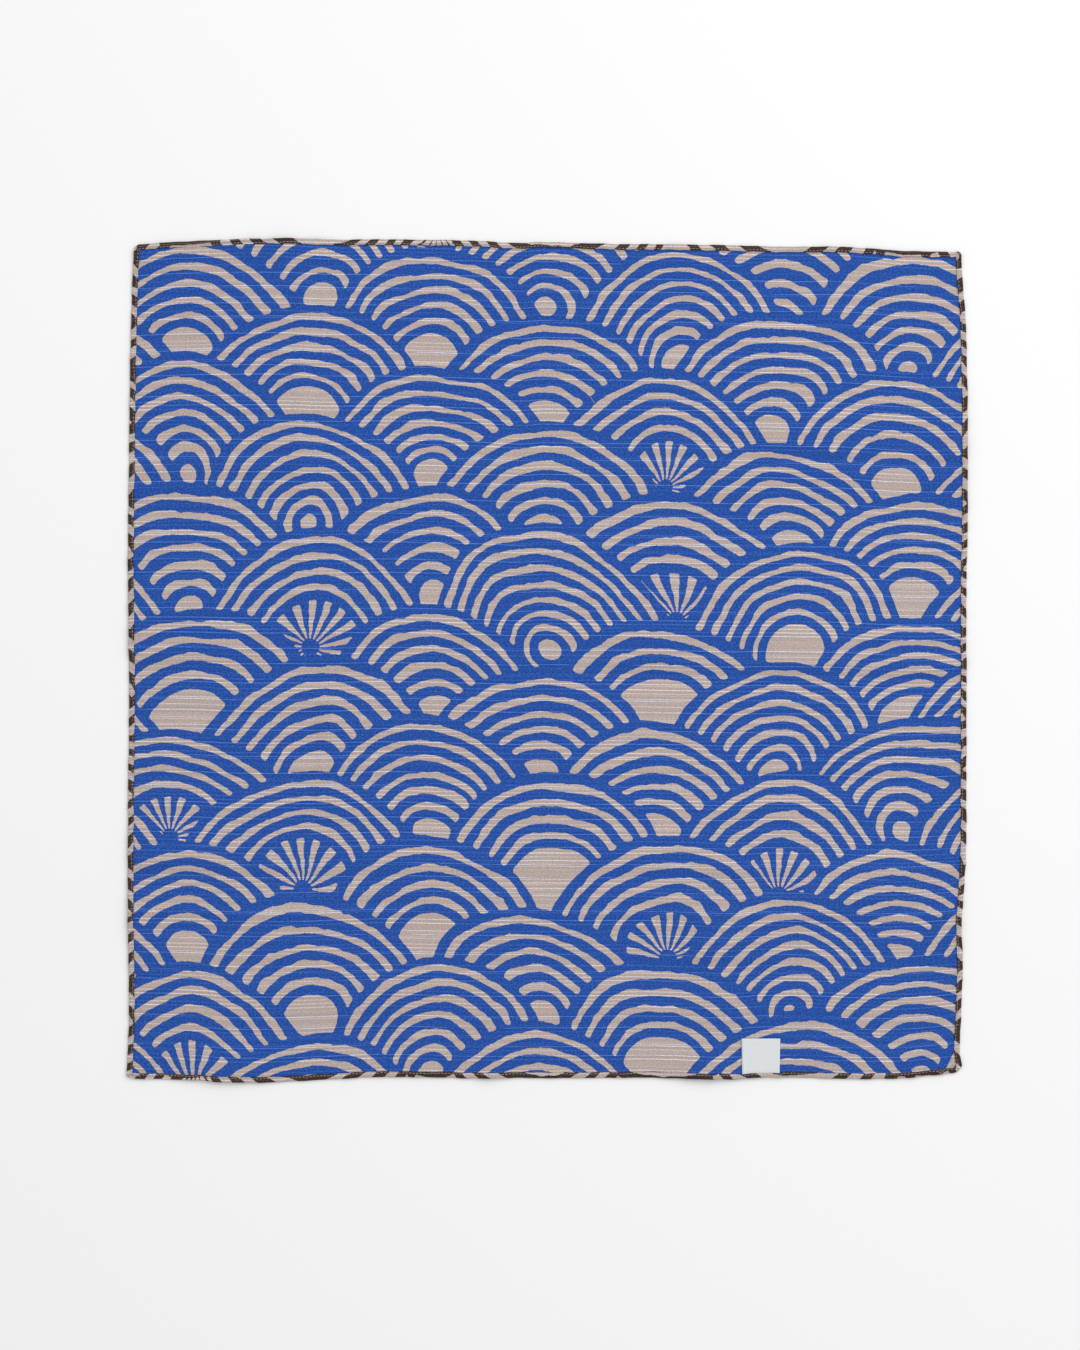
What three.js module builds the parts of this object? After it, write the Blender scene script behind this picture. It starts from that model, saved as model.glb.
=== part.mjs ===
// A furoshiki, the square cotton wrapping cloth, laid out flat with its face up.
// Millimetres, +Z up, +X to the right of the cloth and +Y towards its top edge.
// The origin is in the middle of the cloth's outline, on the surface that it lies on.

import * as THREE from "three";

// Driving sizes

const CLOTH_SIDE = 480;
const CLOTH_THICKNESS = 1.2;
const CLOTH_CELLS = 36;

// The hem is the cloth's own edge, folded over twice onto the face.
const HEM_WIDTH = 3.2;
const HEM_THICKNESS = 2.0;
const HEM_STEP = 0.3;
const FOLD_ROUNDING = 0.8;
const FOLD_TOP_DROP = 0.45;
const FOLD_UNDERSIDE_RISE = 0.35;

// The label is 0.3 mm clear of the cloth's flat facets, which takes a little more than that from the
// smooth curves that the facets stand for.
const HEM_GAP = 0.38;
const FACE_GAP = 0.42;
const LABEL_CENTRE = 125.0;
const LABEL_WIDTH = 22.2;
const LABEL_FOOT_WIDTH = 21.5;
const LABEL_LENGTH = 18.6;
const LABEL_THICKNESS = 1.0;
const LABEL_CELLS = 6;
const LABEL_CURL = 0.6;

// How each edge strays from the true square: along runs right on the top and bottom edges and up on
// the left and right edges, from the edge's middle, and out is how far the cloth reaches past it.
const EDGES = {
  top: [
    { along: -240, out: -1.2 },
    { along: -199, out: 1.1 },
    { along: -153, out: 2.5 },
    { along: -130, out: 1.7 },
    { along: -84, out: 1.7 },
    { along: -38, out: 0.8 },
    { along: -15, out: -0.5 },
    { along: -4, out: 0.3 },
    { along: 30, out: -0.7 },
    { along: 88, out: -1.3 },
    { along: 145, out: -2.5 },
    { along: 168, out: -2.4 },
    { along: 205, out: -4.7 },
    { along: 240, out: -5.5 },
  ],
  bottom: [
    { along: -240, out: 0.0 },
    { along: -199, out: 0.9 },
    { along: -184, out: 2.1 },
    { along: -153, out: 2.0 },
    { along: -119, out: 0.2 },
    { along: -90, out: -1.0 },
    { along: -33, out: -0.1 },
    { along: -15, out: -0.4 },
    { along: 18, out: -0.3 },
    { along: 53, out: -0.6 },
    { along: 76, out: -0.2 },
    { along: 108, out: 0.5 },
    { along: 122, out: -0.6 },
    { along: 145, out: -0.6 },
    { along: 185, out: 0.3 },
    { along: 210, out: -0.5 },
    { along: 226, out: -2.1 },
    { along: 240, out: -3.7 },
  ],
  left: [
    { along: -240, out: 1.9 },
    { along: -204, out: 0.5 },
    { along: -181, out: 0.7 },
    { along: -146, out: 1.1 },
    { along: -77, out: 1.0 },
    { along: -20, out: 0.4 },
    { along: 60, out: 1.1 },
    { along: 106, out: 0.6 },
    { along: 175, out: -0.3 },
    { along: 208, out: -1.1 },
    { along: 240, out: -2.3 },
  ],
  right: [
    { along: -240, out: -2.9 },
    { along: -227, out: -3.7 },
    { along: -200, out: -2.6 },
    { along: -175, out: -1.9 },
    { along: -155, out: -2.6 },
    { along: -112, out: 0.0 },
    { along: -89, out: 0.1 },
    { along: -20, out: 0.2 },
    { along: 37, out: 0.1 },
    { along: 83, out: 0.9 },
    { along: 118, out: 0.8 },
    { along: 152, out: 0.8 },
    { along: 198, out: -0.2 },
    { along: 240, out: -3.3 },
  ],
};

const CORNER_RADII = { topLeft: 3.6, topRight: 3.4, bottomLeft: 3.4, bottomRight: 5.5 };

// The low ripples near the edges, where the cloth stands a little clear of the surface.
const RIPPLES = [
  { edge: "bottom", along: -184, halfLength: 36, reach: 30, height: 1.6 },
  { edge: "bottom", along: -31, halfLength: 16, reach: 22, height: 1.3 },
  { edge: "bottom", along: 92, halfLength: 30, reach: 26, height: 2.0 },
  { edge: "top", along: -153, halfLength: 44, reach: 28, height: 1.5 },
  { edge: "top", along: 176, halfLength: 30, reach: 22, height: 1.0 },
  { edge: "right", along: 118, halfLength: 60, reach: 26, height: 1.2 },
  { edge: "right", along: -150, halfLength: 30, reach: 22, height: 1.0 },
  { edge: "left", along: -146, halfLength: 36, reach: 24, height: 1.2 },
];

const half = CLOTH_SIDE / 2;

// A smooth curve through the rows of one edge, read at a place along it.
function strayAt(rows, along) {
  const slope = (i) => {
    const before = rows[Math.max(i - 1, 0)];
    const after = rows[Math.min(i + 1, rows.length - 1)];
    return (after.out - before.out) / (after.along - before.along);
  };
  const place = THREE.MathUtils.clamp(along, rows[0].along, rows.at(-1).along);
  const next = Math.max(1, rows.findIndex((row) => row.along >= place));
  const from = rows[next - 1];
  const to = rows[next];
  const run = to.along - from.along;
  const t = (place - from.along) / run;
  const fromShare = 1 - 3 * t ** 2 + 2 * t ** 3;
  const fromSlope = (t - 2 * t ** 2 + t ** 3) * run * slope(next - 1);
  const toSlope = (t ** 3 - t ** 2) * run * slope(next);
  return fromShare * from.out + (1 - fromShare) * to.out + fromSlope + toSlope;
}

// How far each edge is from a point of the flat, true square, and how far along the edge it lies.
function edgePlaces(x, y) {
  return {
    top: { inward: half - y, along: x },
    bottom: { inward: half + y, along: x },
    left: { inward: half + x, along: y },
    right: { inward: half - x, along: y },
  };
}

// An edge's stray is whole under the hem and dies away towards the opposite edge.
function strayShare(inward) {
  return THREE.MathUtils.clamp((CLOTH_SIDE - inward) / (CLOTH_SIDE - HEM_WIDTH), 0, 1);
}

// Pulls the points near a corner in, so that the square corner becomes a quarter circle.
function roundCorner(point) {
  const top = point.y > 0;
  const right = point.x > 0;
  const name = (top ? "top" : "bottom") + (right ? "Right" : "Left");
  const radius = CORNER_RADII[name];
  const a = (Math.abs(point.x) - half + radius) / radius;
  const b = (Math.abs(point.y) - half + radius) / radius;
  if (a <= 0 || b <= 0) return;
  point.x += Math.sign(point.x) * radius * (a * Math.sqrt(1 - b ** 2 / 2) - a);
  point.y += Math.sign(point.y) * radius * (b * Math.sqrt(1 - a ** 2 / 2) - b);
}

// Where a point of the flat, true square lies once the cloth is spread out: z is how far the
// ripples lift it.
function spreadOut(x, y) {
  const places = edgePlaces(x, y);
  const stray = {};
  for (const [edge, { inward, along }] of Object.entries(places)) {
    stray[edge] = strayAt(EDGES[edge], along) * strayShare(inward);
  }
  const point = new THREE.Vector3(x, y, 0);
  roundCorner(point);
  point.x += stray.right - stray.left;
  point.y += stray.top - stray.bottom;
  for (const { edge, along, halfLength, reach, height } of RIPPLES) {
    const across = Math.min(Math.abs(places[edge].along - along) / halfLength, 1);
    const inwards = Math.min(places[edge].inward / reach, 1);
    point.z += height * Math.cos((across * Math.PI) / 2) ** 2 * Math.cos((inwards * Math.PI) / 2) ** 2;
  }
  return point;
}

function rise(from, to, inward, start, end) {
  return from + (to - from) * THREE.MathUtils.smoothstep(inward, start, end);
}

// Heights of the cloth's two faces above its lie, by the distance to the nearest edge.
function faceHeight(inward) {
  if (inward < HEM_WIDTH) {
    return rise(HEM_THICKNESS - FOLD_TOP_DROP, HEM_THICKNESS, inward, 0, FOLD_ROUNDING);
  }
  return rise(HEM_THICKNESS, CLOTH_THICKNESS, inward, HEM_WIDTH, HEM_WIDTH + HEM_STEP);
}

function undersideHeight(inward) {
  return rise(FOLD_UNDERSIDE_RISE, 0, inward, 0, FOLD_ROUNDING);
}

// Grid lines across the cloth: a few over each hem, then equal cells between the hems.
function gridLines() {
  const hemLines = [0, FOLD_ROUNDING, (FOLD_ROUNDING + HEM_WIDTH) / 2, HEM_WIDTH];
  const clothStart = HEM_WIDTH + HEM_STEP;
  const cell = (CLOTH_SIDE - 2 * clothStart) / CLOTH_CELLS;
  const clothLines = Array.from({ length: CLOTH_CELLS + 1 }, (_, i) => clothStart + i * cell);
  const farHemLines = hemLines.map((line) => CLOTH_SIDE - line).reverse();
  return [...hemLines, ...clothLines, ...farHemLines].map((line) => line - half);
}

function clothGeometry() {
  const lines = gridLines();
  const cells = lines.length - 1;
  const geometry = new THREE.BoxGeometry(cells, cells, 1, cells, cells, 1);
  const points = geometry.attributes.position;
  for (let i = 0; i < points.count; i++) {
    const x = lines[Math.round(points.getX(i) + cells / 2)];
    const y = lines[Math.round(points.getY(i) + cells / 2)];
    const inward = half - Math.max(Math.abs(x), Math.abs(y));
    const point = spreadOut(x, y);
    point.z += points.getZ(i) > 0 ? faceHeight(inward) : undersideHeight(inward);
    points.setXYZ(i, point.x, point.y, point.z);
  }
  geometry.computeVertexNormals();
  return geometry;
}

// The label lies on the face with its foot along the bottom hem and its head level. The head curls
// up a little.
function labelGeometry() {
  const geometry = new THREE.BoxGeometry(1, 1, 1, LABEL_CELLS, LABEL_CELLS, 1);
  const points = geometry.attributes.position;
  const foot = -half + HEM_WIDTH + HEM_STEP + HEM_GAP;
  const footMiddle = spreadOut(LABEL_CENTRE, foot);
  for (let i = 0; i < points.count; i++) {
    const up = points.getY(i) + 0.5;
    const across = points.getX(i) * THREE.MathUtils.lerp(LABEL_FOOT_WIDTH, LABEL_WIDTH, up);
    const onFoot = spreadOut(LABEL_CENTRE + across, foot);
    const onCloth = spreadOut(LABEL_CENTRE + across, foot + up * LABEL_LENGTH);
    const x = footMiddle.x + across;
    const y = THREE.MathUtils.lerp(onFoot.y, footMiddle.y + LABEL_LENGTH, up);
    const underside = onCloth.z + CLOTH_THICKNESS + FACE_GAP + LABEL_CURL * up ** 2;
    points.setXYZ(i, x, y, underside + (points.getZ(i) > 0 ? LABEL_THICKNESS : 0));
  }
  geometry.computeVertexNormals();
  return geometry;
}

const cotton = new THREE.MeshStandardMaterial({ color: 0x5f6d9c, roughness: 0.9, metalness: 0 });
const wovenLabel = new THREE.MeshStandardMaterial({ color: 0xe0e4e4, roughness: 0.5, metalness: 0 });

const cloth = new THREE.Mesh(clothGeometry(), cotton);
cloth.name = "cloth";

const label = new THREE.Mesh(labelGeometry(), wovenLabel);
label.name = "label";

// The outline isn't quite even, so both pieces move together until its middle is on the origin.
const furoshiki = new THREE.Group();
furoshiki.add(cloth, label);
cloth.geometry.computeBoundingBox();
const middle = cloth.geometry.boundingBox.getCenter(new THREE.Vector3());
furoshiki.position.set(-middle.x, -middle.y, 0);

const part = new THREE.Group();
part.add(furoshiki);

export default part;
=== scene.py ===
# %% [markdown]
# # A furoshiki, spread out flat
#
# A furoshiki is a square of cotton that wraps and carries things. This small one is about 48 cm a
# side. Its taupe cloth has thick slub yarns running across it, and it is printed in blue on the face
# and in dark brown on the reverse. The edge is rolled twice onto the face and sewn down, so the
# narrow hem shows the brown side. A small white label is caught under the hem at the lower right.
#
# The lesson follows the sewing: the square, its rolled hem, the label, then the row of stitches.
# Lengths are millimetres until a mesh is written, because that is how a maker would measure them.

# %% Load the frame
import math

import bpy
import numpy as np
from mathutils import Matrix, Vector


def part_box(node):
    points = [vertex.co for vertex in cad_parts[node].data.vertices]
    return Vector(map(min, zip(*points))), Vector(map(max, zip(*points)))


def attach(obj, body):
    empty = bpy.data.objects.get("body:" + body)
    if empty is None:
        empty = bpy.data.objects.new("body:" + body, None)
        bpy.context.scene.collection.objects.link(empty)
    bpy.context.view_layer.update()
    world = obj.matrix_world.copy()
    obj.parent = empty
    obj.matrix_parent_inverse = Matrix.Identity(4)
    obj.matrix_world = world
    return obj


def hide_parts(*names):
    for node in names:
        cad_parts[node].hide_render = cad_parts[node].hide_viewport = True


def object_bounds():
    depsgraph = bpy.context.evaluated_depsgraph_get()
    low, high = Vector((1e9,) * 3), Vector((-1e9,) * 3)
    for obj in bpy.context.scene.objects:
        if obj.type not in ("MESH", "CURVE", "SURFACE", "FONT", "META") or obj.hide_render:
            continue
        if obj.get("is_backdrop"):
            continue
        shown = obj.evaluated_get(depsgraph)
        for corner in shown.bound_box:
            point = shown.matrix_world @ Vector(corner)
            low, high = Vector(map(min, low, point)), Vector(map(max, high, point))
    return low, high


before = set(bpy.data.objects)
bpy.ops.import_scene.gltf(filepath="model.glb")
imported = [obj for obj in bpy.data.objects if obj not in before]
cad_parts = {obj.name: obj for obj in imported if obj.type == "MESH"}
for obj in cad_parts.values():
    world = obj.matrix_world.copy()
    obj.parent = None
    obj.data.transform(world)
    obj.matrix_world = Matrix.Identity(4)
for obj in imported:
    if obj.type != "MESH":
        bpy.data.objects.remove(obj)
cad_box = [list(corner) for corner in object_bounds()]
cloth_low, cloth_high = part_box("cloth")
MM = 0.001
print("the cloth's solid measures", [round(side / MM, 1) for side in cloth_high - cloth_low], "mm")

# %% [markdown]
# ## The camera
#
# The photograph looks straight down on the cloth through a long lens. The cloth's solid has the
# photograph's outline, so the scale follows from where the outline's outermost points lie in the
# picture. The camera then stands above the middle of the picture, which isn't quite the middle of
# the cloth.

# %% Look straight down
PHOTO_WIDTH = 1080
PHOTO_HEIGHT = 1350
CLOTH_LEFT_PX = 126.6
CLOTH_RIGHT_PX = 967.3
CLOTH_TOP_PX = 238.3
CLOTH_BOTTOM_PX = 1082.5
LENS = 110
SENSOR = 36

metres_per_px = (cloth_high.x - cloth_low.x) / (CLOTH_RIGHT_PX - CLOTH_LEFT_PX)
middle_x_px = (CLOTH_LEFT_PX + CLOTH_RIGHT_PX) / 2
middle_y_px = (CLOTH_TOP_PX + CLOTH_BOTTOM_PX) / 2

camera_data = bpy.data.cameras.new("camera")
camera_data.lens = LENS
camera_data.sensor_width = SENSOR
camera = bpy.data.objects.new("camera", camera_data)
bpy.context.collection.objects.link(camera)
camera.location = (
    (PHOTO_WIDTH / 2 - middle_x_px) * metres_per_px,
    (middle_y_px - PHOTO_HEIGHT / 2) * metres_per_px,
    PHOTO_HEIGHT * metres_per_px * LENS / SENSOR,
)
bpy.context.scene.camera = camera
print("one photograph pixel is", round(metres_per_px / MM, 3), "mm")

# %% [markdown]
# ## How the cloth lies
#
# Nobody lays a cloth down perfectly square. Each edge strays a few millimetres in or out, the corners
# are a little round, and in a few places the edge stands clear of the surface in a low ripple. The
# folds it was stored in are still in it, as soft creases. All of that is one function, `spread_out`.
# It takes a point of the true, flat square and says where it lies. The cloth, the label and every
# stitch go through it, so they stay together.

# %% The cloth's sizes and its stray edges
CLOTH_SIDE = 480.0
HALF = CLOTH_SIDE / 2
HEM_WIDTH = 3.2
EDGES = {
    "top": {
        "along": [-240, -199, -153, -130, -84, -38, -15, -4, 30, 88, 145, 168, 205, 240],
        "out": [-1.2, 1.1, 2.5, 1.7, 1.7, 0.8, -0.5, 0.3, -0.7, -1.3, -2.5, -2.4, -4.7, -5.5],
    },
    "bottom": {
        "along": [-240, -199, -184, -153, -119, -90, -33, -15, 18]
        + [53, 76, 108, 122, 145, 185, 210, 226, 240],
        "out": [0.0, 0.9, 2.1, 2.0, 0.2, -1.0, -0.1, -0.4, -0.3]
        + [-0.6, -0.2, 0.5, -0.6, -0.6, 0.3, -0.5, -2.1, -3.7],
    },
    "left": {
        "along": [-240, -204, -181, -146, -77, -20, 60, 106, 175, 208, 240],
        "out": [1.9, 0.5, 0.7, 1.1, 1.0, 0.4, 1.1, 0.6, -0.3, -1.1, -2.3],
    },
    "right": {
        "along": [-240, -227, -200, -175, -155, -112, -89, -20, 37, 83, 118, 152, 198, 240],
        "out": [-2.9, -3.7, -2.6, -1.9, -2.6, 0.0, 0.1, 0.2, 0.1, 0.9, 0.8, 0.8, -0.2, -3.3],
    },
}
RIPPLES = [
    {"edge": "bottom", "along": -184, "half_length": 36, "reach": 30, "height": 1.6},
    {"edge": "bottom", "along": -31, "half_length": 16, "reach": 22, "height": 1.3},
    {"edge": "bottom", "along": 92, "half_length": 30, "reach": 26, "height": 2.0},
    {"edge": "top", "along": -153, "half_length": 44, "reach": 28, "height": 1.5},
    {"edge": "top", "along": 176, "half_length": 30, "reach": 22, "height": 1.0},
    {"edge": "right", "along": 118, "half_length": 60, "reach": 26, "height": 1.2},
    {"edge": "right", "along": -150, "half_length": 30, "reach": 22, "height": 1.0},
    {"edge": "left", "along": -146, "half_length": 36, "reach": 24, "height": 1.2},
]
print(len(RIPPLES), "ripples and", sum(len(rows["along"]) for rows in EDGES.values()), "rows of stray")


# %% Read how far an edge strays
def stray_at(edge, along):
    """How far an edge reaches past the true square, on a smooth curve through its rows."""
    places = np.array(EDGES[edge]["along"], float)
    reaches = np.array(EDGES[edge]["out"], float)
    slopes = np.gradient(reaches) / np.gradient(places)
    along = np.clip(along, places[0], places[-1])
    after = np.clip(np.searchsorted(places, along), 1, len(places) - 1)
    before = after - 1
    run = places[after] - places[before]
    t = (along - places[before]) / run
    share = 1 - 3 * t**2 + 2 * t**3
    bend = (t - 2 * t**2 + t**3) * run * slopes[before] + (t**3 - t**2) * run * slopes[after]
    return share * reaches[before] + (1 - share) * reaches[after] + bend


def edge_places(x, y):
    """For each edge, how far inside it points lie, and how far along it."""
    return {
        "top": (HALF - y, x),
        "bottom": (HALF + y, x),
        "left": (HALF + x, y),
        "right": (HALF - x, y),
    }


RUFFLE_WAVES = [41.0, 23.0, 13.0]
RUFFLE_SIZE = 0.07
dice = np.random.default_rng(7)
ruffle_starts = {edge: dice.uniform(0, 2 * math.pi, len(RUFFLE_WAVES)) for edge in EDGES}


def ruffle(edge, along):
    """The small unevenness that sewing leaves along a hem, within about a fifth of a millimetre."""
    waves = zip(RUFFLE_WAVES, ruffle_starts[edge])
    return RUFFLE_SIZE * sum(np.sin(2 * math.pi * along / length + start) for length, start in waves)


# %% [markdown]
# The cloth was kept folded in four both ways, so its fold lines run near the middle and the quarters,
# broken where a hand has smoothed them, and one wrinkle runs at a slant. A fold line that has been
# pressed open isn't a groove. The cloth on one side stands a little clear of the surface and comes
# down in a soft step, and light from one side catches that step.

# %% Press the creases
def soft_step(value, start, end):
    """0 before start, 1 past end, and a smooth rise between them."""
    t = np.clip((value - start) / (end - start), 0, 1)
    return t * t * (3 - 2 * t)


CREASES = [
    {"start": (-246, -118), "end": (-148, -119), "step": 2.5, "bow": 1.5},
    {"start": (-140, -119), "end": (24, -116), "step": 0.9, "bow": -2.0},
    {"start": (6, -115), "end": (116, -122), "step": 2.0, "bow": 1.5},
    {"start": (104, -121), "end": (160, -140), "step": 1.2, "bow": 2.0},
    {"start": (82, -177), "end": (218, -129), "step": 2.4, "bow": 4.0},
    {"start": (-246, 4), "end": (-150, 3), "step": 2.2, "bow": -1.0},
    {"start": (-152, 5), "end": (-92, -13), "step": 0.9, "bow": 4.0},
    {"start": (24, -4), "end": (246, -9), "step": 1.8, "bow": 2.5},
    {"start": (112, 125), "end": (246, 122), "step": 1.8, "bow": -2.0},
    {"start": (-132, -10), "end": (-131, -98), "step": 1.5, "bow": 1.5},
    {"start": (-16, 246), "end": (-17, 196), "step": 1.8, "bow": 1.0},
    {"start": (138, 34), "end": (119, -6), "step": 1.0, "bow": 2.0},
    {"start": (-144, 222), "end": (-146, 12), "step": 1.2, "bow": -2.0},
]
CREASE_SOFTNESS = 3.0
CREASE_REACH = 26.0
CREASE_FADE = 14.0
CREASE_WANDER = 0.7
CREASE_UNEVENNESS = 0.3


def crease_lift(x, y):
    """How far the creases lift the cloth: most on the left of each run, and nothing far from it."""
    lift = x * 0.0
    for crease in CREASES:
        run_x, run_y = np.subtract(crease["end"], crease["start"])
        length = math.hypot(run_x, run_y)
        past_x, past_y = x - crease["start"][0], y - crease["start"][1]
        along = (past_x * run_x + past_y * run_y) / length
        beside = (past_y * run_x - past_x * run_y) / length
        beside = beside - crease["bow"] * np.sin(math.pi * along / length)
        beside = beside + CREASE_WANDER * np.sin(along / 7)
        fade = soft_step(along, 0, CREASE_FADE) * (1 - soft_step(along, length - CREASE_FADE, length))
        fade = fade * (1 + CREASE_UNEVENNESS * np.sin(along / 13 + crease["start"][0]))
        step = 0.5 + 0.5 * np.tanh(beside / CREASE_SOFTNESS)
        lift = lift + fade * crease["step"] * step * np.exp(-np.maximum(beside, 0) / CREASE_REACH)
    return lift


print(len(CREASES), "creases, up to", max(crease["step"] for crease in CREASES), "mm high")

# %% Spread a point of the true square out
RUFFLE_REACH = 14.0
RUFFLE_LIFT = 0.06
REST_WAVE = 0.35
CORNER_TUGS = [
    {"x": 239, "y": 238, "pull_x": 0.5, "pull_y": 0.5, "reach": 2.5},
    {"x": 239, "y": -236, "pull_x": 0.9, "pull_y": 0.3, "reach": 4.0},
    {"x": -239, "y": -238, "pull_x": -0.3, "pull_y": 0.5, "reach": 3.0},
]


def tugged(x, y):
    """The corners aren't alike. Sewing has tugged three of them a little out of shape."""
    pulled_x, pulled_y = x, y
    for tug in CORNER_TUGS:
        near = np.exp(-((x - tug["x"]) ** 2 + (y - tug["y"]) ** 2) / tug["reach"] ** 2)
        pulled_x = pulled_x + near * tug["pull_x"]
        pulled_y = pulled_y + near * tug["pull_y"]
    return pulled_x, pulled_y


def rest_wave(x, y):
    """The low, broad unevenness of cloth that has been smoothed out by hand."""
    along = np.sin(x / 31 + 1.1 * np.sin(y / 57))
    across = np.sin(y / 37 + 0.9 * np.sin(x / 49))
    return REST_WAVE * (along * across) ** 2


def spread_out(x, y, height):
    """Where points of the true square lie, in millimetres. Height is above the cloth's underside."""
    places = edge_places(x, y)
    stray = {}
    lift = rest_wave(x, y) + crease_lift(x, y)
    for edge, (inward, along) in places.items():
        share = np.clip((CLOTH_SIDE - inward) / (CLOTH_SIDE - HEM_WIDTH), 0, 1)
        near = np.exp(-((inward / RUFFLE_REACH) ** 2))
        stray[edge] = stray_at(edge, along) * share + ruffle(edge, along) * near
        lift = lift + near * (ruffle(edge, along + CLOTH_SIDE) / RUFFLE_SIZE + 2) * RUFFLE_LIFT
    for ripple in RIPPLES:
        inward, along = places[ripple["edge"]]
        across = np.clip(np.abs(along - ripple["along"]) / ripple["half_length"], 0, 1)
        inwards = np.clip(inward / ripple["reach"], 0, 1)
        lift = lift + ripple["height"] * (np.cos(across * math.pi / 2) * np.cos(inwards * math.pi / 2)) ** 2
    x, y = tugged(x, y)
    return np.column_stack(
        [x + stray["right"] - stray["left"], y + stray["top"] - stray["bottom"], height + lift]
    )


rim = np.linspace(-HALF, HALF, 400)
ends = np.full_like(rim, HALF)
square_rim = [spread_out(*side, 0) for side in ((rim, ends), (rim, -ends), (ends, rim), (-ends, rim))]
outline = np.vstack(square_rim)[:, :2]
outline_middle = (outline.min(0) + outline.max(0)) / 2
print("the outline strays from", outline.min(0).round(1), "to", outline.max(0).round(1), "mm")


def write_places(mesh, places):
    """Gives a mesh its final points, from millimetres, with the outline's middle on the origin."""
    final = np.array(places, float)
    final[:, :2] -= outline_middle
    mesh.vertices.foreach_set("co", (final * MM).ravel())
    mesh.update()


def places_of(mesh):
    """A mesh's points in millimetres."""
    found = np.empty(len(mesh.vertices) * 3)
    mesh.vertices.foreach_get("co", found)
    return found.reshape(-1, 3) / MM


# %% [markdown]
# ## The square of cloth
#
# A sheet that lies flat starts as a grid. Its lines aren't evenly spaced: they crowd together over
# the hem, where the cloth turns corners, and are about 3 mm apart in the middle, where it is flat.
# The grid stops where the cloth turns up into the hem, so its outer line is a little inside the
# outline.

# %% Add the grid and space its lines
CLOTH_THICKNESS = 0.32
LAYER_PITCH = 0.36
CLEARANCE = 0.05
BASE_HEIGHT = CLOTH_THICKNESS / 2 + CLEARANCE
MIDDLE_HEIGHT = BASE_HEIGHT + LAYER_PITCH
TOP_HEIGHT = BASE_HEIGHT + 2 * LAYER_PITCH
OUTER_FOLD_RADIUS = (TOP_HEIGHT - BASE_HEIGHT) / 2
RIM_INWARD = OUTER_FOLD_RADIUS + CLOTH_THICKNESS / 2
STITCH_INWARD = 2.35
FLAT_START = 4.4
FLAT_CELLS = 142

hem_lines = [RIM_INWARD, 1.15, 1.75, STITCH_INWARD, 2.95, 3.6]
flat_lines = np.linspace(FLAT_START, CLOTH_SIDE - FLAT_START, FLAT_CELLS + 1)
far_hem_lines = [CLOTH_SIDE - line for line in reversed(hem_lines)]
lines = np.concatenate([hem_lines, flat_lines, far_hem_lines]) - HALF
cells = len(lines) - 1


def deselect_everything():
    """Leaves edit mode, with nothing selected."""
    if bpy.context.object and bpy.context.object.mode != "OBJECT":
        bpy.ops.object.mode_set(mode="OBJECT")
    bpy.ops.object.select_all(action="DESELECT")


def named(name):
    """Names the object that an operator has just made, and its mesh."""
    piece = bpy.context.object
    piece.name = name
    piece.data.name = name
    return piece


deselect_everything()
bpy.ops.mesh.primitive_grid_add(x_subdivisions=cells, y_subdivisions=cells, size=CLOTH_SIDE * MM)
cloth = named("furoshiki_cloth")
grid_places = places_of(cloth.data)[:, :2]
line_numbers = np.rint((grid_places / CLOTH_SIDE + 0.5) * cells).astype(int)
lie = lines[line_numbers]
print("grid of", cells, "by", cells, "cells,", len(cloth.data.vertices), "points")

# %% [markdown]
# The four corners of a rolled hem are never sharp. Each corner of the grid is pulled in to a
# quarter circle by a formula that turns a square into a disc, so the cells only bend a little.
# Every point of the rim also needs to know which way is inwards, because the hem is built from it.

# %% Round the corners
CORNER_RADII = {"top left": 3.6, "top right": 2.8, "bottom left": 3.2, "bottom right": 4.6}


def corner_radius(places):
    """The radius of the corner that each place is nearest to."""
    names = [("bottom", "top")[up] + (" left", " right")[right] for right, up in places > 0]
    return np.array([CORNER_RADII[name] for name in names])


radius = corner_radius(lie)[:, None] - RIM_INWARD
into_corner = np.clip((np.abs(lie) - HALF + RIM_INWARD + radius) / radius, 0, 1)
in_corner = (into_corner > 0).all(axis=1, keepdims=True)
pull = radius * (into_corner * np.sqrt(1 - into_corner[:, ::-1] ** 2 / 2) - into_corner)
lie = lie + np.where(in_corner, np.sign(lie) * pull, 0)

corner_centre = np.sign(lie) * (HALF - RIM_INWARD - radius)
on_rim = (line_numbers == 0) | (line_numbers == cells)
inwards = np.where(in_corner, corner_centre - lie, np.where(on_rim, -np.sign(lie), 0.0))
inwards = inwards / np.maximum(np.hypot(*inwards.T), 1e-9)[:, None]
print(int(in_corner.sum()), "points lie in the four round corners")

# %% [markdown]
# ## The rolled hem
#
# A rolled hem is the cloth's edge turned up and over onto the face, and then turned under once more
# so that the raw edge hides inside. It is made here as a sewer makes it. The grid's rim is extruded
# again and again, and each new strip is laid one step further round the fold: round the outer fold,
# back across the face, round the inner fold, and out again between the two layers.
#
# The table of steps is worked out first. Each step says how far inside the outline the middle of
# the cloth's thickness lies, how high it is, and how much cloth has been used so far.

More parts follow.
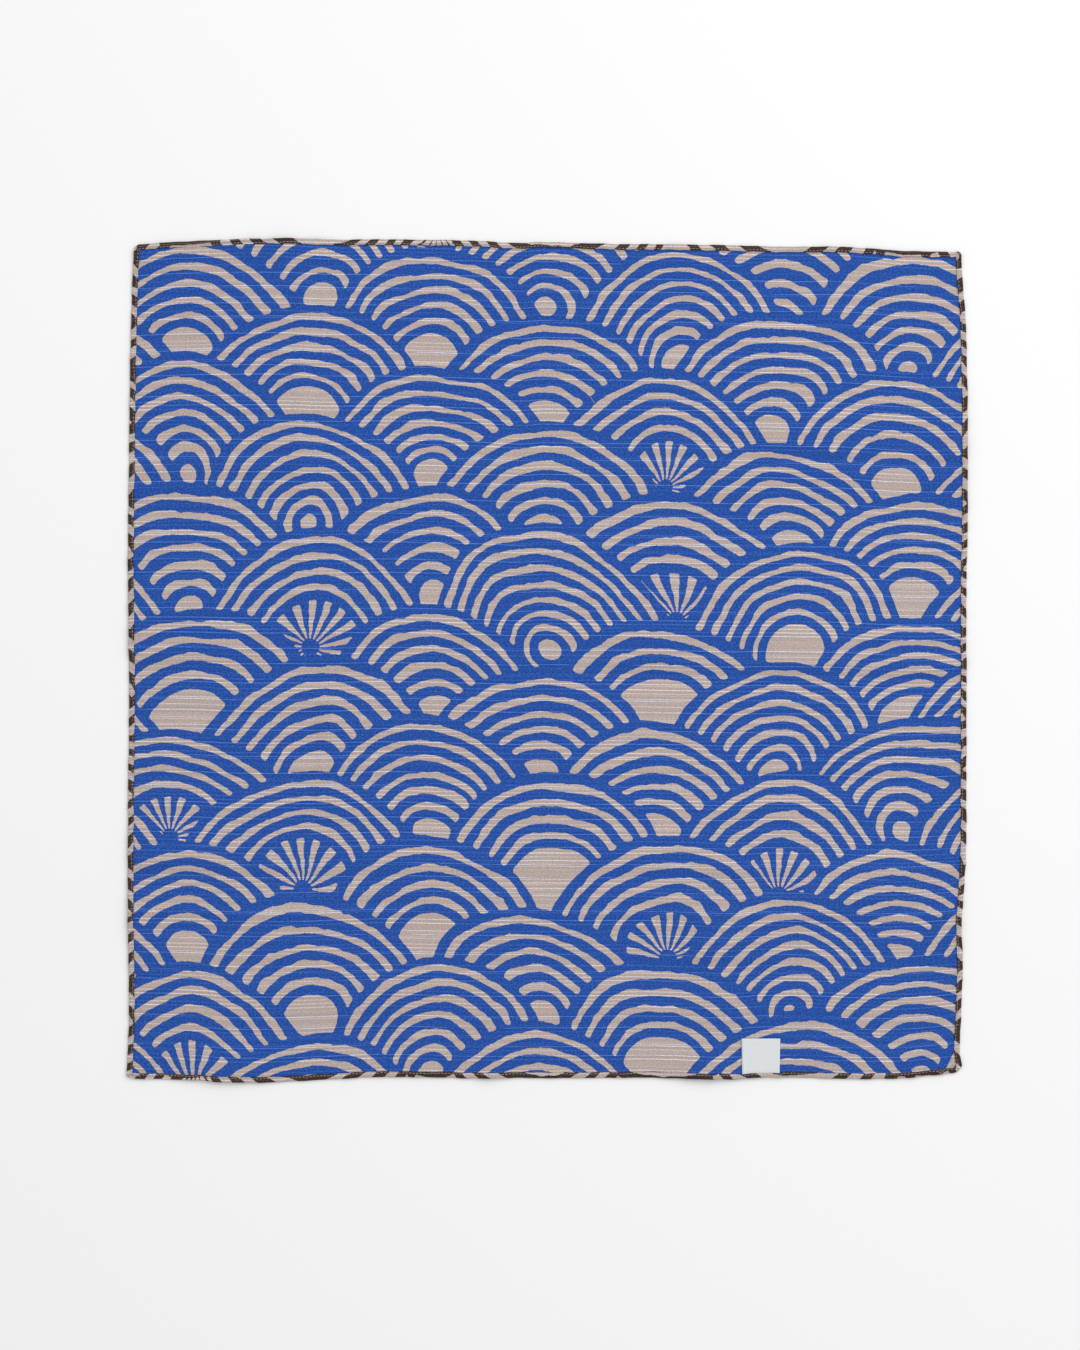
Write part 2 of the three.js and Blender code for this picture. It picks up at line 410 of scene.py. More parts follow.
# %% Work out the hem's fold
INNER_FOLD_RADIUS = (TOP_HEIGHT - MIDDLE_HEIGHT) / 2
INNER_FOLD_INWARD = HEM_WIDTH - CLOTH_THICKNESS / 2 - INNER_FOLD_RADIUS
TOP_LAYER = [
    {"inward": 1.1, "puff": 0.05},
    {"inward": 1.7, "puff": 0.07},
    {"inward": 2.1, "puff": 0.0},
    {"inward": STITCH_INWARD, "puff": -0.06},
    {"inward": 2.6, "puff": -0.01},
]
MIDDLE_LAYER = [2.35, 1.6, 1.0]
OUTER_FOLD_STEPS = 6
INNER_FOLD_STEPS = 5

steps = [(RIM_INWARD, BASE_HEIGHT)]
for turn in np.linspace(-math.pi / 2, math.pi / 2, OUTER_FOLD_STEPS + 1)[1:]:
    height = BASE_HEIGHT + OUTER_FOLD_RADIUS * (1 + math.sin(turn))
    steps.append((RIM_INWARD - OUTER_FOLD_RADIUS * math.cos(turn), height))
for row in TOP_LAYER:
    steps.append((row["inward"], TOP_HEIGHT + row["puff"]))
for turn in np.linspace(math.pi / 2, -math.pi / 2, INNER_FOLD_STEPS + 1):
    height = MIDDLE_HEIGHT + INNER_FOLD_RADIUS * (1 + math.sin(turn))
    steps.append((INNER_FOLD_INWARD + INNER_FOLD_RADIUS * math.cos(turn), height))
for inward in MIDDLE_LAYER:
    steps.append((inward, MIDDLE_HEIGHT))
step_inward, step_height = np.array(steps).T
step_run = np.concatenate([[0], np.cumsum(np.hypot(np.diff(step_inward), np.diff(step_height)))])
print(len(steps) - 1, "steps use", round(step_run[-1], 2), "mm of cloth past the sheet's rim")

# %% [markdown]
# Extruding copies a point's attributes to the new point. So before the first extrusion each point
# is given its place in the square, the way inwards and a step of nought, and after each extrusion
# the new points, which are the selected ones, are told their step.

# %% Extrude the rim step by step
FIRST_FOLDED_OVER = OUTER_FOLD_STEPS // 2 + 1


def give_attribute(mesh, name, kind, values):
    """Stores a value with each point, which extruding will copy."""
    attribute = mesh.attributes.new(name, kind, "POINT")
    attribute.data.foreach_set("vector" if kind == "FLOAT_VECTOR" else "value", np.ravel(values))


def read_attribute(mesh, name, kind):
    """The value that each point holds, as an array."""
    wide = kind == "FLOAT_VECTOR"
    values = np.empty(len(mesh.vertices) * (3 if wide else 1), float if wide else np.int32)
    mesh.attributes[name].data.foreach_get("vector" if wide else "value", values)
    return values.reshape(-1, 3) if wide else values


nought = np.zeros(len(lie))
give_attribute(cloth.data, "lie", "FLOAT_VECTOR", np.column_stack([lie, nought]))
give_attribute(cloth.data, "inwards", "FLOAT_VECTOR", np.column_stack([inwards, nought]))
give_attribute(cloth.data, "step", "INT", nought.astype(np.int32))

bpy.ops.object.mode_set(mode="EDIT")
bpy.ops.mesh.select_mode(type="EDGE")
bpy.ops.mesh.select_all(action="DESELECT")
bpy.ops.mesh.select_non_manifold(extend=False)
for step in range(1, len(steps)):
    bpy.ops.mesh.extrude_region_move(TRANSFORM_OT_translate={"value": (0, 0, MM)})
    bpy.ops.object.mode_set(mode="OBJECT")
    newly_made = np.empty(len(cloth.data.vertices), bool)
    cloth.data.vertices.foreach_get("select", newly_made)
    known = read_attribute(cloth.data, "step", "INT")
    known[newly_made] = step
    cloth.data.attributes["step"].data.foreach_set("value", known)
    bpy.ops.object.mode_set(mode="EDIT")
bpy.ops.object.mode_set(mode="OBJECT")
print("with its hem the sheet has", len(cloth.data.polygons), "faces")

# %% [markdown]
# Now every point is laid in its place. Where the label is caught, the two upper layers of the hem
# ride over it, so they are lifted there and pulled out a little. The cloth also sinks slightly
# under the row of stitches. At each corner the side hem lies over the end of the other one, so the
# fold has a step there, with a mitre line pressed in beside it.

# %% Lay the points in place
LABEL_CENTRE = 125.0
LABEL_WIDTH = 22.2
LABEL_FOOT_WIDTH = 21.5
LABEL_RIDE_HEIGHT = 0.52
LABEL_RIDE_PULL = 0.5
MITRE_DEPTH = 0.14
LAP_HEIGHT = 0.26
LAP_REACH = 9.0
STITCH_DIMPLE = 0.1
DIMPLE_REACH = 0.6
HEM_UNEVENNESS = 1.8


def over_label(x, y):
    """1 where the hem rides over the label, dying away to 0 beside it."""
    beside = np.abs(x - LABEL_CENTRE) - LABEL_WIDTH / 2
    return np.where(y < 0, 1 - soft_step(beside, -0.5, 5.0), 0.0)


def side_lap(y):
    """How much higher a side hem lies near its two ends, where it is folded over the other hem."""
    return LAP_HEIGHT * (1 - soft_step(HALF - np.abs(y), 2.0, LAP_REACH))


def hem_swell(x, y):
    """How much wider or narrower than HEM_WIDTH the hem is, as a share."""
    places = edge_places(x, y)
    nearest = np.argmin([inward for inward, along in places.values()], axis=0)
    swells = [ruffle(edge, 2.3 * along + 90) / HEM_WIDTH for edge, (inward, along) in places.items()]
    return HEM_UNEVENNESS * np.choose(nearest, swells)


lie = read_attribute(cloth.data, "lie", "FLOAT_VECTOR")
inwards = read_attribute(cloth.data, "inwards", "FLOAT_VECTOR")
step_of = read_attribute(cloth.data, "step", "INT")
folded = step_of >= FIRST_FOLDED_OVER
riding = over_label(lie[:, 0], lie[:, 1])
reach_in = step_inward[step_of] - RIM_INWARD
swell = np.where(folded, hem_swell(lie[:, 0], lie[:, 1]), 0) * np.clip(reach_in, 0, None)
pulled = np.where(folded, riding * LABEL_RIDE_PULL * soft_step(reach_in, 0.5, 2.4), 0)
hem_in = reach_in + swell - pulled
hem_x = lie[:, 0] + inwards[:, 0] * hem_in
hem_y = lie[:, 1] + inwards[:, 1] * hem_in

from_edge = HALF - np.maximum(np.abs(lie[:, 0]), np.abs(lie[:, 1]))
dimple = STITCH_DIMPLE * np.clip(1 - np.abs(from_edge - STITCH_INWARD) / DIMPLE_REACH, 0, 1)
mitred = np.isclose(np.abs(inwards[:, 0]), np.abs(inwards[:, 1]), atol=0.02) & (step_of > 0)
on_top = folded & (step_of <= OUTER_FOLD_STEPS + len(TOP_LAYER) + 1)
height = step_height[step_of] + np.where(step_of == 0, dimple, 0)
height = height + np.where(folded, riding * LABEL_RIDE_HEIGHT, 0)
height = height - np.where(mitred & on_top, MITRE_DEPTH, 0)
on_side_hem = np.abs(inwards[:, 0]) > np.abs(inwards[:, 1]) + 0.02
height = height + np.where(on_side_hem & folded, side_lap(lie[:, 1]), 0)
write_places(cloth.data, spread_out(hem_x, hem_y, height))
print("the hem's top is", round(TOP_HEIGHT + CLOTH_THICKNESS / 2, 2), "mm above the cloth's underside")

# %% [markdown]
# ## The cloth's own coordinates
#
# The print was on the cloth before it was hemmed, so the pattern must follow the cloth and not the
# place in space. A UV map in metres of flat cloth does that. Inside the rim it is simply the place
# in the square. On the hem it runs on past the fold, so the hem shows the print as a mirror image
# of what lies next to it, just as on a real one. At a corner each side of the mitre belongs to its
# own edge, which is why the map is made face by face.

# %% Unfold the hem into a UV map
def points_of_corners(mesh):
    """The number of the point at each corner of each face."""
    found = np.empty(len(mesh.loops), np.int32)
    mesh.loops.foreach_get("vertex_index", found)
    return found


corner_point = points_of_corners(cloth.data)
face_of_corner = np.repeat(
    np.arange(len(cloth.data.polygons)), [len(face.vertices) for face in cloth.data.polygons]
)


def face_mean(values):
    """The mean of a value over each face, given at the face's corners."""
    totals = np.bincount(face_of_corner, values[corner_point])
    return (totals / np.bincount(face_of_corner))[face_of_corner]


mean_x = face_mean(hem_x)
mean_y = face_mean(hem_y)
across_ends = np.abs(mean_y) > np.abs(mean_x)
sheet_half = HALF - RIM_INWARD
turned = face_mean(step_of.astype(float)) > 0
past_x = sheet_half - np.abs(lie[:, 0]) + sheet_half + step_run[step_of]
past_y = sheet_half - np.abs(lie[:, 1]) + sheet_half + step_run[step_of]
flat_x = np.where(turned & ~across_ends, np.sign(mean_x) * past_x[corner_point], hem_x[corner_point])
flat_y = np.where(turned & across_ends, np.sign(mean_y) * past_y[corner_point], hem_y[corner_point])
flat_map = cloth.data.uv_layers[0] if cloth.data.uv_layers else cloth.data.uv_layers.new()
flat_map.name = "flat_cloth"
flat_map.data.foreach_set("uv", (np.column_stack([flat_x, flat_y]) * MM).ravel())
cut_side = 2 * (sheet_half + step_run[-1])
print("the cloth was cut", round(cut_side, 1), "mm square")

# %% [markdown]
# A single sheet of faces has no thickness. The Solidify modifier gives it the cloth's third of a
# millimetre and closes it at the raw edge. Its second material slot goes to the side that it adds,
# which is the reverse, so the brown print shows underneath and on the hem, and the blue on the face.

# %% Give the cloth its thickness
for name in ("lie", "inwards", "step"):
    cloth.data.attributes.remove(cloth.data.attributes[name])
face_cotton = bpy.data.materials.new("cotton_printed_blue")
reverse_cotton = bpy.data.materials.new("cotton_printed_brown")
cloth.data.materials.append(face_cotton)
cloth.data.materials.append(reverse_cotton)


def finish_with(piece, kind, **settings):
    """Adds a modifier to a piece and applies it."""
    deselect_everything()
    piece.select_set(True)
    bpy.context.view_layer.objects.active = piece
    modifier = piece.modifiers.new(kind.lower(), kind)
    for setting, value in settings.items():
        setattr(modifier, setting, value)
    bpy.ops.object.modifier_apply(modifier=modifier.name)


finish_with(
    cloth,
    "SOLIDIFY",
    thickness=CLOTH_THICKNESS * MM,
    offset=0,
    material_offset=1,
    material_offset_rim=1,
)
bpy.ops.object.shade_smooth()
print("the closed cloth has", len(cloth.data.polygons), "faces")

# %% [markdown]
# ## The label
#
# The label is a white woven tape, folded in two with the fold at the head. Both ends are caught
# under the hem. A grid stands for the flat tape, and each row of it is then laid along the folded
# tape's side view: up the cloth, round the fold, and down again on top of itself. The foot follows
# the hem, but the tape is too stiff to stray with the cloth, so its sides and head stay straight.

# %% Fold the tape in two
LABEL_THICKNESS = 0.17
LABEL_HEAD = 22.4
LABEL_FOOT = 1.3
LABEL_FOLD_RADIUS = 0.14
LABEL_CURL = 0.55
LABEL_CLEARANCE = 0.02
LABEL_ROWS = 56
LABEL_COLUMNS = 20

label_rise = LABEL_HEAD - LABEL_FOOT - LABEL_FOLD_RADIUS
tape_length = 2 * label_rise + math.pi * LABEL_FOLD_RADIUS
deselect_everything()
bpy.ops.mesh.primitive_grid_add(x_subdivisions=LABEL_COLUMNS, y_subdivisions=LABEL_ROWS, size=1)
label = named("sewn_label")
tape = places_of(label.data) * MM
along_tape = (tape[:, 1] + 0.5) * tape_length
around_fold = np.clip((along_tape - label_rise) / (math.pi * LABEL_FOLD_RADIUS), 0, 1) * math.pi
past_fold = np.clip(along_tape - label_rise - math.pi * LABEL_FOLD_RADIUS, 0, None)
up_cloth = LABEL_FOOT + np.minimum(along_tape, label_rise) - past_fold
up_cloth = up_cloth + LABEL_FOLD_RADIUS * np.sin(around_fold)
share_up = np.clip((up_cloth - HEM_WIDTH) / (LABEL_HEAD - HEM_WIDTH), 0, 1)
on_face = BASE_HEIGHT + (CLOTH_THICKNESS + LABEL_THICKNESS) / 2 + LABEL_CLEARANCE
label_height = on_face + LABEL_FOLD_RADIUS * (1 - np.cos(around_fold)) + LABEL_CURL * share_up**2
label_across = tape[:, 0] * (LABEL_FOOT_WIDTH + (LABEL_WIDTH - LABEL_FOOT_WIDTH) * share_up)
label_places = spread_out(LABEL_CENTRE + label_across, up_cloth - HALF, label_height)
foot = np.full_like(label_across, HEM_WIDTH - HALF)
along_hem = spread_out(LABEL_CENTRE + label_across, foot, 0)
foot_middle = spread_out(np.array([LABEL_CENTRE]), np.array([HEM_WIDTH - HALF]), 0)[0]
above_hem = (up_cloth - HEM_WIDTH) / (LABEL_HEAD - HEM_WIDTH)
head_level = foot_middle[1] + LABEL_HEAD - HEM_WIDTH
label_places[:, 0] = foot_middle[0] + label_across
label_places[:, 1] = along_hem[:, 1] + (head_level - along_hem[:, 1]) * above_hem
write_places(label.data, label_places)
tape_map = np.column_stack([tape[:, 0] * LABEL_WIDTH, along_tape]) * MM
label_map = label.data.uv_layers[0]
label_map.name = "flat_tape"
label_map.data.foreach_set("uv", tape_map[points_of_corners(label.data)].ravel())
finish_with(label, "SOLIDIFY", thickness=LABEL_THICKNESS * MM, offset=0)
bpy.ops.object.shade_smooth()
print("the tape is", LABEL_WIDTH, "by", round(tape_length, 1), "mm before it is folded")

# %% [markdown]
# ## The stitches
#
# A lockstitch seam shows one short run of thread after another, on both sides of the hem. One
# stitch is modelled from a sphere: drawn out long, flattened, and its ends bent down into the cloth.
# The Array modifier repeats it along one edge. Each stitch is then turned, stretched and moved by a
# hair, because a machine's stitches aren't quite alike, and `spread_out` lays the row on the hem.

# %% Model one stitch and a row of them
STITCH_PITCH = 2.05
STITCH_LENGTH = 1.72
THREAD_WIDTH = 0.32
THREAD_THICKNESS = 0.26
STITCH_DIP = 0.16
STITCH_STRAY = 0.05
STITCH_SLANT = 0.03

seam_length = CLOTH_SIDE - 2 * STITCH_INWARD
stitches_per_edge = round(seam_length / STITCH_PITCH)
stitch_step = seam_length / stitches_per_edge


def run_of_thread(length, rings):
    """A straight run of thread along x, tapered at both ends."""
    deselect_everything()
    bpy.ops.mesh.primitive_uv_sphere_add(segments=6, ring_count=rings, radius=0.5 * MM)
    bpy.ops.object.mode_set(mode="EDIT")
    bpy.ops.transform.rotate(value=math.pi / 2, orient_axis="Y", center_override=(0, 0, 0))
    bpy.ops.transform.resize(value=(length, THREAD_WIDTH, THREAD_THICKNESS))
    bpy.ops.object.mode_set(mode="OBJECT")
    return bpy.context.object


def row_of_stitches(seed):
    """One edge's stitches along x, in millimetres from the middle of the seam."""
    row = run_of_thread(STITCH_LENGTH, 6)
    one = len(row.data.vertices)
    finish_with(
        row,
        "ARRAY",
        count=stitches_per_edge,
        use_relative_offset=False,
        use_constant_offset=True,
        constant_offset_displace=(stitch_step * MM, 0, 0),
    )
    places = places_of(row.data).reshape(stitches_per_edge, one, 3)
    middles = np.arange(stitches_per_edge) * stitch_step
    inside = places - np.column_stack([middles, middles * 0, middles * 0])[:, None, :]
    inside[:, :, 2] -= STITCH_DIP * (2 * inside[:, :, 0] / STITCH_LENGTH) ** 2
    hand = np.random.default_rng(seed)
    slant = hand.normal(0, STITCH_SLANT, (stitches_per_edge, 1))
    inside[:, :, 1] += slant * inside[:, :, 0]
    inside[:, :, 0] *= hand.uniform(0.9, 1.06, (stitches_per_edge, 1))
    stray = hand.normal(0, STITCH_STRAY, (stitches_per_edge, 1))
    inside[:, :, 1] += stray
    from_middle = middles - (seam_length - stitch_step) / 2
    along = inside[:, :, 0] + from_middle[:, None]
    return row, along.ravel(), inside[:, :, 1].ravel(), inside[:, :, 2].ravel()


# %% [markdown]
# Each edge has two rows, one on each side, made by the same function with different small strays. On
# the face the thread lies in the hem's top layer. On the reverse it is pulled flatter, into the small
# groove that the tight thread makes in the cloth.

# %% Sew all four edges on both sides
TURNS = {"bottom": 0, "right": 1, "top": 2, "left": 3}
FACE_THREAD_HEIGHT = TOP_HEIGHT + CLOTH_THICKNESS / 2 - 0.01
REVERSE_THREAD_HEIGHT = 0.14
REVERSE_FLATNESS = 0.75
PULL_SHARE_AT_SEAM = 0.8


def turned_by(angle, x, y, centre_x=0.0, centre_y=0.0):
    """Places turned about the origin and then moved to a centre."""
    return (
        centre_x + x * math.cos(angle) - y * math.sin(angle),
        centre_y + x * math.sin(angle) + y * math.cos(angle),
    )


seams = []
for number, quarter in enumerate(TURNS.values()):
    for face_side in (True, False):
        seam, along, across, above = row_of_stitches(seed=11 + 2 * number + face_side)
        inward = STITCH_INWARD + across
        angle = quarter * math.pi / 2
        turned_x, turned_y = turned_by(angle, along, inward - HALF)
        riding = over_label(turned_x, turned_y)
        swollen = hem_swell(turned_x, turned_y) * (inward - RIM_INWARD)
        if face_side:
            shift = swollen - riding * LABEL_RIDE_PULL * PULL_SHARE_AT_SEAM
            lap = side_lap(turned_y) if quarter % 2 else 0
            level = FACE_THREAD_HEIGHT + above + riding * LABEL_RIDE_HEIGHT + lap
        else:
            shift = np.zeros_like(swollen)
            level = REVERSE_THREAD_HEIGHT - above * REVERSE_FLATNESS
        turned_x = turned_x - shift * math.sin(angle)
        turned_y = turned_y + shift * math.cos(angle)
        write_places(seam.data, spread_out(turned_x, turned_y, level))
        seams.append(seam)
print(len(seams) * stitches_per_edge, "stitches in", len(seams), "rows")

# %% [markdown]
# Where the seam turns a corner or starts again, six stitches lie crosswise, and two ends of thread
# are left long. One more end has fallen on the face.

# %% Add the crosswise stitches and the loose ends
FACE_HEIGHT = BASE_HEIGHT + CLOTH_THICKNESS / 2 + THREAD_THICKNESS / 2
OVER_CORNER = FACE_THREAD_HEIGHT + LAP_HEIGHT + 0.04
LOOSE_THREADS = [
    {"x": 237.9, "y": 237.4, "turn": 25, "length": 1.9, "bow": 0.3, "level": OVER_CORNER},
    {"x": 237.7, "y": 237.0, "turn": 100, "length": 1.8, "bow": -0.3, "level": OVER_CORNER},
    {"x": 239.2, "y": 238.0, "turn": -15, "length": 2.1, "bow": 0.2, "level": OVER_CORNER},
    {"x": -237.8, "y": -237.4, "turn": 60, "length": 1.8, "bow": 0.2, "level": OVER_CORNER},
    {"x": -237.5, "y": -237.6, "turn": -35, "length": 1.9, "bow": 0.2, "level": OVER_CORNER},
    {"x": -234.6, "y": -238.3, "turn": -9, "length": 6.2, "bow": 0.5, "level": OVER_CORNER},
    {"x": 228.0, "y": -239.2, "turn": -44, "length": 4.0, "bow": 0.3, "level": FACE_THREAD_HEIGHT + 0.12},
    {"x": 229.4, "y": -238.4, "turn": 30, "length": 1.9, "bow": 0.1, "level": FACE_THREAD_HEIGHT + 0.1},
    {"x": 24.5, "y": 150.2, "turn": -55, "length": 7.1, "bow": 0.4, "level": FACE_HEIGHT},
]

for loose in LOOSE_THREADS:
    end = run_of_thread(loose["length"], 12)
    along, across, above = places_of(end.data).T
    across = across + loose["bow"] * (1 - (2 * along / loose["length"]) ** 2)
    end_places = turned_by(math.radians(loose["turn"]), along, across, loose["x"], loose["y"])
    write_places(end.data, spread_out(*end_places, loose["level"] + above))
    seams.append(end)

deselect_everything()
for seam in seams:
    seam.select_set(True)
bpy.context.view_layer.objects.active = seams[0]
bpy.ops.object.join()
stitching = named("hem_stitching")
bpy.ops.object.mode_set(mode="EDIT")
bpy.ops.mesh.select_all(action="SELECT")
bpy.ops.mesh.normals_make_consistent(inside=False)
bpy.ops.object.mode_set(mode="OBJECT")
bpy.ops.object.shade_smooth()
print("the stitching has", len(stitching.data.polygons), "faces")

# %% [markdown]
# ## Writing a pattern as arithmetic
#
# Weave and print are drawn by shader nodes, so they stay sharp at any distance. Dozens of Math
# nodes are hard to read one by one. The small class below stands for a value in a node tree. Adding
# or multiplying two of them makes the Math node and its links, so a pattern reads like a formula.


# %% A value that makes Math nodes
class Wire:
    """A value in a node tree. Arithmetic on it adds Math nodes."""

    def __init__(self, tree, socket):
        self.tree = tree
        self.socket = socket

    def math(self, operation, *others):
        node = self.tree.nodes.new("ShaderNodeMath")
        node.operation = operation
        for entry, value in zip(node.inputs, (self, *others)):
            join(value, entry)
        return Wire(self.tree, node.outputs["Value"])

    def __add__(self, other):
        return self.math("ADD", other)

    def __sub__(self, other):
        return self.math("SUBTRACT", other)

    def __mul__(self, other):
        return self.math("MULTIPLY", other)

    def __truediv__(self, other):
        return self.math("DIVIDE", other)

    def floor(self):
        return self.math("FLOOR")

    def fraction(self):
        return self - self.floor()

    def wrapped(self, length):
        return self.math("FLOORED_MODULO", length)

    def towards(self, other, share):
        return (self * -1 + other) * share + self

    def soft_step(self, start, end):
        node = self.tree.nodes.new("ShaderNodeMapRange")
        node.interpolation_type = "SMOOTHSTEP"
        join(self, node.inputs["Value"])
        join(start, node.inputs["From Min"])
        join(end, node.inputs["From Max"])
        return Wire(self.tree, node.outputs["Result"])


def join(value, entry):
    """Links a wire to a node's entry, or sets the entry to a plain number."""
    if isinstance(value, Wire):
        value.tree.links.new(value.socket, entry)
    else:
        entry.default_value = value


print("a Wire turns sums into nodes")

# %% [markdown]
# Two kinds of node bring in chance. Noise changes smoothly from place to place, and white noise gives
# each whole number a value of its own, here called its lot. A node group then keeps a whole pattern
# in one node, so that both sides of the cloth can use it.


# %% Add noise, lots and node groups
def noise(x, y, detail=2.0):
    """Smooth noise from about -0.5 to 0.5, one lump per unit of x and y."""
    spot = x.tree.nodes.new("ShaderNodeCombineXYZ")
    join(x, spot.inputs["X"])
    join(y, spot.inputs["Y"])
    texture = x.tree.nodes.new("ShaderNodeTexNoise")
    texture.noise_dimensions = "2D"
    texture.inputs["Scale"].default_value = 1
    texture.inputs["Detail"].default_value = detail
    x.tree.links.new(spot.outputs["Vector"], texture.inputs["Vector"])
    return Wire(x.tree, texture.outputs["Fac"]) - 0.5


def lot(number):
    """A random value from 0 to 1 that stays the same for each whole number."""
    draw = number.tree.nodes.new("ShaderNodeTexWhiteNoise")
    draw.noise_dimensions = "1D"
    join(number, draw.inputs["W"])
    return Wire(number.tree, draw.outputs["Value"])


def new_group(name, entries, exits):
    """An empty node group, its entries as wires, and the node that its results go to."""
    tree = bpy.data.node_groups.new(name, "ShaderNodeTree")
    for entry in entries:
        tree.interface.new_socket(entry, in_out="INPUT", socket_type="NodeSocketFloat")
    for result in exits:
        tree.interface.new_socket(result, in_out="OUTPUT", socket_type="NodeSocketFloat")
    start = tree.nodes.new("NodeGroupInput")
    return tree, [Wire(tree, start.outputs[entry]) for entry in entries], tree.nodes.new("NodeGroupOutput")


print("noise, lots and node groups can be added")

# %% [markdown]
# ## The printed waves
#
# The print is seigaiha, the old pattern of overlapping waves: circles in rows, each row half a
# radius above the one before, and each circle filled with rings. The lowest circle that covers a
# point is the one in front. Four rows are tried from back to front, and each one that covers the
# point takes it over.
#
# The stencil was cut by hand, so no two waves match. Each has its own small shift, radius, ring
# pitch and heart, and all are drawn on coordinates that noise has pushed about, in slow curves and
# in short nicks.

# %% Find the wave in front
RING_PITCH = 9.2
WAVE_RADIUS = 7.4 * RING_PITCH
ROW_HEIGHT = WAVE_RADIUS / 2
INK_SHARE = 0.58
WAVE_SHIFT = 12.0
ROUND_END = 1.6
RAYS_AROUND = 17
INK_EDGE = 0.12
ROW_LOTS = 17
COLUMN_LOTS = 101
SMALLEST_RADIUS = 0.97
RADIUS_SPREAD = 0.05
SMALLEST_PITCH = 0.9
PITCH_SPREAD = 0.2
CUTS = [
    {"size": 26.0, "length": 170.0},
    {"size": 6.0, "length": 46.0},
    {"size": 1.5, "length": 14.0},
    {"size": 0.8, "length": 4.0},
    {"size": 0.4, "length": 0.9},
]
FAR = 50.0


def round_corner_of(first, second, radius):
    """How deep a point is inside two shapes at once, with their common corners rounded off."""
    short_first = (first * -1 + radius).math("MAXIMUM", 0)
    short_second = (second * -1 + radius).math("MAXIMUM", 0)
    return (short_first * short_first + short_second * short_second).math("SQRT") * -1 + radius


waves_tree, (x, y, widening), waves_out = new_group("hand_cut_waves", ["x", "y", "widening"], ["ink"])
cut_x, cut_y = x, y
for number, cut in enumerate(CUTS):
    length = cut["length"]
    cut_x = cut_x + noise(x / length + 11 * number, y / length, 1) * cut["size"]
    cut_y = cut_y + noise(x / length, y / length + 7 + 13 * number, 1) * cut["size"]
lowest_row = ((cut_y - WAVE_RADIUS - WAVE_SHIFT) / ROW_HEIGHT).math("CEIL")
chosen = None
clearance = x * 0 + FAR
for back in (3, 2, 1, 0):
    row = lowest_row + back
    half_turn = row.wrapped(2) * WAVE_RADIUS
    column = ((cut_x + half_turn) / (2 * WAVE_RADIUS) + 0.5).floor()
    name = row * ROW_LOTS + column * COLUMN_LOTS
    across = cut_x + half_turn - column * (2 * WAVE_RADIUS) - (lot(name + 0.25) - 0.5) * WAVE_SHIFT
    up = cut_y - row * ROW_HEIGHT - (lot(name + 0.5) - 0.5) * WAVE_SHIFT
    radius = (lot(name + 0.75) * RADIUS_SPREAD + SMALLEST_RADIUS) * WAVE_RADIUS
    distance = (across * across + up * up).math("SQRT")
    wave = {
        "depth": radius - distance,
        "distance": distance,
        "angle": across.math("ARCTAN2", up),
        "pitch": (lot(name + 0.15) * PITCH_SPREAD + SMALLEST_PITCH) * RING_PITCH,
        "heart": lot(name + 0.35),
    }
    covers = distance.math("LESS_THAN", radius)
    clearance = clearance.math("MINIMUM", distance - radius).towards(FAR, covers)
    if chosen:
        wave = {part: chosen[part].towards(wave[part], covers) for part in wave}
    chosen = wave
print("the wave in front is found in", len(waves_tree.nodes), "nodes")

# %% [markdown]
# A wave is inked in rings, from its rim inwards, and what the ink leaves bare are the pale rings and
# the heart. There are three sizes of heart, and a few are cut into rays. The bare shapes end round,
# as a knife leaves them, and stop a little short of the wave in front.

# %% Ink the rings and the heart
# Just under three, so that rounding down gives 0, 1 or 2.
HEART_SIZES = 2.99
SMALLEST_HEART = 0.9
HEART_GROWTH = 0.95
RAY_HALF_WIDTH = 0.24
RAYS_START = 0.55
RAYED_FROM = 0.8
WAVE_GAP = 0.2

ring = (chosen["depth"] / chosen["pitch"]).fraction()
ring_ink = noise(x / 34 + 11, y / 34) * 0.5 + noise(x / 9 + 60, y / 9, 1) * 0.2 + INK_SHARE
in_ring = (ring - ring_ink).math("MINIMUM", ring * -1 + 1) * chosen["pitch"]
radius = chosen["depth"] + chosen["distance"]
heart_size = (chosen["heart"] * HEART_SIZES).floor()
wanted_heart = (heart_size * HEART_GROWTH + SMALLEST_HEART) * chosen["pitch"]
whole_rings = ((radius - wanted_heart) / chosen["pitch"]).floor()
in_rings = in_ring.math("MINIMUM", whole_rings * chosen["pitch"] - chosen["depth"])
heart_radius = radius - (whole_rings + INK_SHARE) * chosen["pitch"]
ray = (chosen["angle"] * (RAYS_AROUND / math.tau) + 0.5).fraction() - 0.5
in_ray = ray.math("ABSOLUTE") * -1 + RAY_HALF_WIDTH
in_ray = in_ray * chosen["distance"] * (math.tau / RAYS_AROUND)
in_ray = in_ray.math("MINIMUM", chosen["distance"] - RAYS_START * RING_PITCH)
rayed = chosen["heart"].math("GREATER_THAN", RAYED_FROM)
in_heart = heart_radius - chosen["distance"]
in_rayed_heart = round_corner_of(in_heart, in_ray, ROUND_END / 2)
in_heart = in_heart.towards(in_rayed_heart, rayed)
in_bare = in_rings.math("MAXIMUM", in_heart)
in_bare = round_corner_of(in_bare, clearance - WAVE_GAP, ROUND_END)
join((in_bare + widening).soft_step(INK_EDGE, -INK_EDGE), waves_out.inputs["ink"])
print("waves of radius", round(WAVE_RADIUS, 1), "mm in", len(waves_tree.nodes), "nodes")

